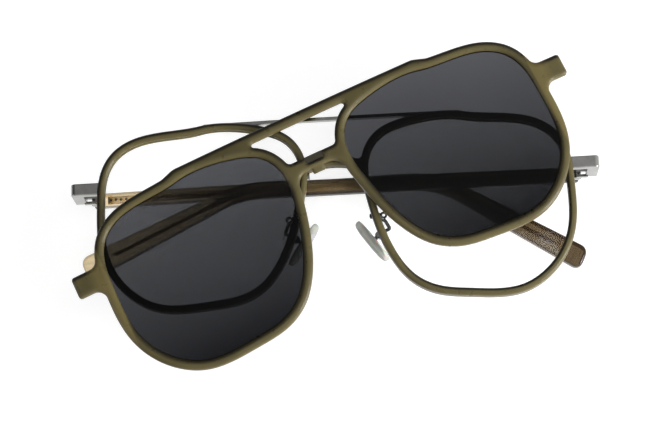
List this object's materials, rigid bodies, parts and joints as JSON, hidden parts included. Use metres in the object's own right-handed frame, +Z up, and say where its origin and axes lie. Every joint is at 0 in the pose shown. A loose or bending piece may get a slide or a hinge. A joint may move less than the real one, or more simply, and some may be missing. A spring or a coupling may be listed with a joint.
{
  "type": "clip-on sunglasses set",
  "caption": "Pilot-style spectacles folded and lying front up, with a magnetic tinted clip resting askew on the front; hinged temples, rocking nose pads and bowed plastic rims.",
  "frame": {"origin": "middle of the footprint of the whole set as it lies, at the table", "axes": "+X along the spectacle front to the right, +Y towards the brow, +Z up from the table; the front leans 2.2 degrees about Y, its right end higher"},
  "size_m": [0.1506, 0.0908, 0.0245],
  "materials": {
    "front_plastic": "satin translucent olive",
    "clip_plastic": "satin translucent olive",
    "clear_lens": "clear, coated",
    "sun_lens": "dark grey tint",
    "polished_metal": "polished gunmetal",
    "steel": "turned",
    "dark_metal": "polished dark",
    "temple_plastic": "polished translucent champagne brown",
    "core_metal": "bronze, patterned",
    "pad_plastic": "clear soft plastic",
    "magnet": "plated"
  },
  "bodies": {
    "front": {"front_frame": "front_plastic", "brow_bar": "polished_metal", "clear_lens_left": "clear_lens", "clear_lens_right": "clear_lens", "rim_stud_left": "steel", "rim_stud_right": "steel", "endpiece_left": "polished_metal", "endpiece_right": "polished_metal", "hinge_screw_left": "steel", "hinge_screw_right": "steel", "pad_bracket_left": "dark_metal", "pad_bracket_right": "dark_metal", "pad_arm_left": "dark_metal", "pad_arm_right": "dark_metal", "pad_screw_left": "steel", "pad_screw_right": "steel"},
    "temple_left": {"temple_left": "temple_plastic", "temple_core_left": "core_metal", "temple_hinge_left": "polished_metal"},
    "temple_right": {"temple_right": "temple_plastic", "temple_core_right": "core_metal", "temple_hinge_right": "polished_metal"},
    "nose_pad_left": {"nose_pad_left": "pad_plastic", "pad_core_left": "dark_metal"},
    "nose_pad_right": {"nose_pad_right": "pad_plastic", "pad_core_right": "dark_metal"},
    "clip": {"clip_frame": "clip_plastic", "sun_lens_left": "sun_lens", "sun_lens_right": "sun_lens", "clip_magnet": "magnet"}
  },
  "joints": [
    {"name": "temple_left_fold", "type": "hinge", "parent": "front", "child": "temple_left", "pos_m": [-0.06915, 0.00908, 0.0047], "axis": [0, 1, 0], "range_deg": [0, 87.8]},
    {"name": "temple_right_fold", "type": "hinge", "parent": "front", "child": "temple_right", "pos_m": [0.06955, 0.00908, 0.01003], "axis": [0, -1, 0], "range_deg": [0, 91.27]},
    {"name": "nose_pad_left_rock", "type": "hinge", "parent": "front", "child": "nose_pad_left", "pos_m": [-0.01186, -0.00797, 0.01285], "axis": [0.0753, -0.0806, 0.9939], "range_deg": [-10, 10]},
    {"name": "nose_pad_right_rock", "type": "hinge", "parent": "front", "child": "nose_pad_right", "pos_m": [0.01181, -0.00797, 0.01375], "axis": [-0.1514, -0.0806, 0.9852], "range_deg": [-10, 10]},
    {"name": "clip_lift", "type": "slide", "parent": "front", "child": "clip", "axis": [-0.0384, 0, 0.9993], "range_m": [0, 0.04]}
  ]
}
